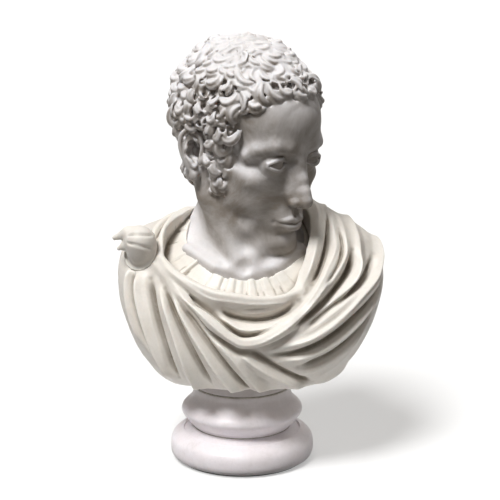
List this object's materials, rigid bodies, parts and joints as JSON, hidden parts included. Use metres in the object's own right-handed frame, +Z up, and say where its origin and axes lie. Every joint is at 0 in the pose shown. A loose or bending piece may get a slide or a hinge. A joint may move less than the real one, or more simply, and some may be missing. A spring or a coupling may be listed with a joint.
{
  "type": "portrait bust",
  "caption": "Draped marble portrait bust with a turned head and curly hair, on a round turned socle, held together by a hidden tie rod.",
  "frame": {"origin": "centre of the felt ring's underside, on the socle's axis, on the surface that the bust stands on", "axes": "+Z up along the socle's axis; the chest faces -Y; +X is towards the bust's own left shoulder, the way the head turns"},
  "size_m": [0.3745, 0.2386, 0.6009],
  "materials": {
    "bust_marble": "honed marble, slightly creamy, with grey-brown patina in the folds",
    "head_marble": "honed marble, slightly cooler white, patina in the curls",
    "socle_marble": "polished marble, faintly pink white",
    "lime_putty": "matt lime putty bed",
    "steel": "plain stainless steel",
    "bronze": "bronze dowel, dull",
    "resin": "cast anchoring resin",
    "felt": "green baize felt"
  },
  "bodies": {
    "root": {"base_felt": "felt", "socle_foot": "socle_marble", "foot_bed": "lime_putty", "socle_collar": "socle_marble", "bust_bed": "lime_putty", "draped_bust": "bust_marble", "neck_bed": "lime_putty", "head_and_neck": "head_marble", "neck_dowel": "bronze", "cloak_clasp": "bust_marble", "clasp_pin": "bronze", "tie_rod": "steel", "rod_anchor": "resin", "pocket_washer": "steel", "spring_washer": "steel", "rod_nut": "steel"}
  },
  "joints": []
}
